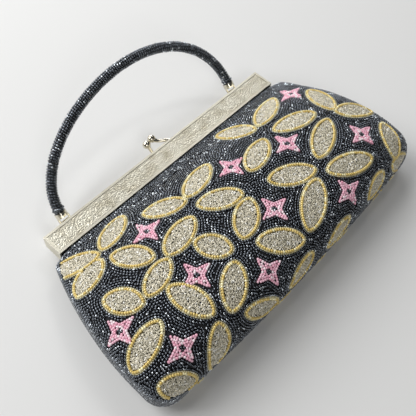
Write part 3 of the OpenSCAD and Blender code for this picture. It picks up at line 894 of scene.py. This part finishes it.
frontLining = sheetSolid("frontLining", [inside["liningTop"]] + lowRows, liningCols, inside["liningInset"],
                         inside["liningThick"], 1, inside["liningNarrow"], "satinLining",
                         inside["liningWave"])
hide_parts("lining_top", "lining_fold", "front_lining")
bendAtHinge(frontLining)
rearLining = sheetSolid("rearLining", lowRows, liningCols, inside["liningInset"], inside["liningThick"],
                        -1, inside["liningNarrow"], "satinLining", inside["liningWave"])
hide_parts("rear_lining")
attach(rearLining, "bag")

pocket = {
    "width": 84.0, "top": 24.0, "height": 50.0, "z": 3.45, "thick": 0.5, "slack": 0.5, "cols": 28, "rows": 18,
}
verts = []
cols, rows = pocket["cols"], pocket["rows"]
for layer in (0, 1):
    for i in range(rows + 1):
        for j in range(cols + 1):
            s, t = j / cols * 2 - 1, i / rows
            slack = pocket["slack"] * (1 - s * s) * (t ** 3) if layer else 0.0
            verts.append((s * pocket["width"] / 2 * mm, (pocket["top"] - (1 - t) * pocket["height"]) * mm,
                          (pocket["z"] + layer * pocket["thick"] + slack) * mm))
innerPocket = makeMesh("innerPocket", verts, slabFaces(rows + 1, cols + 1), "satinLining")
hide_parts("inner_pocket")
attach(innerPocket, "bag")
print("lining done")

handle = {
    "halfSpan": 80.0, "height": 61.0, "start": 8.0, "base": 5.1, "lean": 12.5, "tilt": 45.0,
    "pivotY": 74.5, "pivotZ": 8.6, "coreRadius": 2.75, "threadRadius": 2.98,
    "windPitch": 1.76, "beadPitch": 1.71, "beadLength": 1.62, "beadRadius": 0.74, "stray": 0.05,
    "endGap": 0.6, "ringRadius": 3.55, "ringAt": 1.9, "ringInward": 2.4, "ringBeads": 12,
    "ringBeadLength": 1.6, "ringBeadRadius": 0.78, "pathSteps": 160, "lookAlong": 0.8, "cordSides": 20,
}
tilt = math.radians(handle["tilt"])


def archPath(count):
    h = handle
    pts = [(h["halfSpan"], h["base"])]
    for k in range(count + 1):
        t = math.pi * k / count
        y = h["start"] + (h["height"] - h["start"]) * math.sin(t)
        pts.append((h["halfSpan"] * math.cos(t) + h["lean"] * (y / h["height"]) ** 2, y))
    pts.append((-h["halfSpan"], h["base"]))
    c, s = math.cos(tilt), math.sin(tilt)
    return np.array([(x, h["pivotY"] + y * c, h["pivotZ"] + y * s) for x, y in pts])


path = archPath(handle["pathSteps"])
planeNormal = np.array((0, -math.sin(tilt), math.cos(tilt)))
reach = lengthAlong(path)


def alongArch(s):
    # Place, direction and sideways direction at a length along the handle
    e = handle["lookAlong"]
    p, p0, p1 = (np.stack([np.interp(at, reach, path[:, c]) for c in range(3)], -1)
                 for at in (s, s - e, s + e))
    a = p1 - p0
    a /= np.linalg.norm(a, axis=-1, keepdims=True)
    return p, a, np.cross(a, planeNormal)


def tubeMesh(name, points, radii, sides, material, side):
    points = np.array(points, float)
    verts, faces = [], []
    last = len(points) - 1
    for i, p in enumerate(points):
        a = points[min(i + 1, last)] - points[max(i - 1, 0)]
        a /= np.linalg.norm(a)
        u = np.cross(a, side)
        u /= np.linalg.norm(u)
        w = np.cross(u, a)
        for k in range(sides):
            t = 2 * math.pi * k / sides
            verts.append((p + radii[i] * (math.cos(t) * u + math.sin(t) * w)) * mm)
    for i in range(last):
        for k in range(sides):
            m = (k + 1) % sides
            faces.append((i * sides + k, (i + 1) * sides + k, (i + 1) * sides + m, i * sides + m))
    faces.append(tuple(range(sides)))
    faces.append(tuple(last * sides + k for k in range(sides - 1, -1, -1)))
    return makeMesh(name, verts, faces, material)


handleCord = tubeMesh("handleCord", path, [handle["coreRadius"]] * len(path), handle["cordSides"], "thread",
                      planeNormal)
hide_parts("handle_core", "handle_beading")
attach(handleCord, "handle")
total = reach[-1]
turn = 2 * math.pi * handle["threadRadius"]
count = int(total / handle["windPitch"] * turn / handle["beadPitch"])
k = np.arange(count)
s = handle["endGap"] + (total - 2 * handle["endGap"]) * k / count
stray = handle["stray"]
angle = k * handle["beadPitch"] / handle["threadRadius"] + np.array([dice.gauss(0, stray) for _ in k])
p, a, w = alongArch(s)
out = np.cos(angle)[:, None] * w + np.sin(angle)[:, None] * planeNormal
around = np.cross(a, out)
wobble = np.array([dice.gauss(0, stray) for _ in k])[:, None]
centre = p + out * (handle["threadRadius"] + wobble)
lengths = np.array([handle["beadLength"] * dice.uniform(0.92, 1.06) for _ in k])
radii = np.array([handle["beadRadius"] * dice.uniform(0.92, 1.05) for _ in k])
for piece in beadPieces("handleBeads", centre, around, out, lengths, radii, "blackBead"):
    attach(piece, "handle")
ringCentre, ringAlong, ringOut = [], [], []
for end, inward in ((handle["ringAt"], handle["ringInward"]),
                    (total - handle["ringAt"], -handle["ringInward"])):
    p, a, w = alongArch(np.array([end]))
    for k in range(handle["ringBeads"]):
        t = 2 * math.pi * k / handle["ringBeads"]
        o = math.cos(t) * w[0] + math.sin(t) * planeNormal
        ringCentre.append(p[0] + o * handle["ringRadius"] + a[0] * inward)
        ringAlong.append(np.cross(a[0], o))
        ringOut.append(o)
n = len(ringCentre)
for piece in beadPieces("handleEndRings", np.array(ringCentre), np.array(ringAlong), np.array(ringOut),
                        np.full(n, handle["ringBeadLength"]), np.full(n, handle["ringBeadRadius"]),
                        "blackBead"):
    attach(piece, "handle")
print("handle done", count)

plate = {
    "inset": 1.65, "thick": 0.4, "sink": 0.5, "frameThick": 11.0, "step": 0.3, "edgeRun": 0.8,
    "relief": 0.24, "grain": 1.1, "patches": 0.16, "patchGain": 0.6, "noiseGain": 0.75, "dip": 0.3,
    "lowest": 0.05, "proud": 0.08, "seed": 9.0,
}


def embossedPlate(name, side):
    b, q = bag, plate
    x0, x1 = -b["frameHalf"] + q["inset"], b["frameHalf"] - q["inset"]
    y0, y1 = b["topY"] - b["bandHeight"] + q["inset"], b["topY"] - q["inset"]
    cols, rows = int((x1 - x0) / q["step"]), int((y1 - y0) / q["step"])
    base = q["frameThick"] / 2 - q["sink"]
    verts = []
    for layer in (0, 1):
        for i in range(rows + 1):
            for j in range(cols + 1):
                x, y = x0 + (x1 - x0) * j / cols, y0 + (y1 - y0) * i / rows
                h = base
                if layer:
                    edge = min(1, min(x - x0, x1 - x, y - y0, y1 - y) / q["edgeRun"])
                    spot = Vector((x, y, side * q["seed"]))
                    cell = noise.voronoi(spot * q["grain"])[0]
                    gain = 1.0 + q["patchGain"] * noise.noise(spot * q["patches"])
                    rough = q["noiseGain"] * noise.noise(spot * q["grain"])
                    h += q["thick"] - q["relief"] / 2 \
                        + q["relief"] * edge * (gain * (cell[1] - cell[0]) + rough - q["dip"])
                    h = min(max(h, base + q["lowest"]), base + q["thick"] + q["proud"])
                verts.append((x * mm, y * mm, (b["midZ"] + side * h) * mm))
    faces = slabFaces(rows + 1, cols + 1)
    if side < 0:
        faces = [tuple(reversed(f)) for f in faces]
    return makeMesh(name, verts, faces, "etched")


for name, side, body, node in (("frontPlate", 1, "front_frame", "front_face_plate"),
                               ("rearPlate", -1, "bag", "rear_face_plate")):
    piece = embossedPlate(name, side)
    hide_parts(node)
    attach(piece, body)

lock = {
    "stemRadius": 1.05, "footRadius": 1.8, "neckRadius": 2.1, "ball": (1.8, 80.6, 14.9),
    "otherBall": (-4.2, 79.2, 14.9), "steps": 28, "sides": 28, "flare": 5,
}


def curvePoint(h, t):
    a, b, c, d = (np.array(p) for p in h)
    return (1 - t) ** 3 * a + 3 * t * (1 - t) ** 2 * b + 3 * t * t * (1 - t) * c + t ** 3 * d


stems = {
    "frontStem": ("front_lock_stem", "front_frame",
                  ((10.0, 70.0, 15.2), (7.8, 74.2, 15.2), (3.4, 73.4, 15.2), lock["ball"])),
    "rearStem": ("rear_lock_stem", "bag",
                 ((-3.6, 70.0, 9.8), (-3.8, 75.4, 9.8), (-4.2, 75.4, 13.4), lock["otherBall"])),
}
for name, (node, body, handles) in stems.items():
    ts = [k / lock["steps"] for k in range(lock["steps"] + 1)]
    # Each stem flares into its bar and swells again where it meets its ball
    radii = [lock["stemRadius"] + (lock["footRadius"] - lock["stemRadius"]) * (1 - t) ** lock["flare"]
             + (lock["neckRadius"] - lock["stemRadius"]) * t ** lock["flare"] for t in ts]
    piece = tubeMesh(name, [curvePoint(handles, t) for t in ts], radii, lock["sides"], "polished", (0, 0, 1))
    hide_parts(node)
    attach(piece, body)

nodeFinish = {
    "frame_bar": "champagne", "arm": "steel", "rivet": "steel", "channel_cord": "paperTwist",
    "lock_ball": "polished", "knuckle": "polished", "bail": "polished", "cap": "polished",
}
for node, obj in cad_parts.items():
    if obj.hide_render:
        continue
    for part, kind in nodeFinish.items():
        if part in node:
            obj.data.materials.clear()
            obj.data.materials.append(finish[kind])
print("frame and lock done")
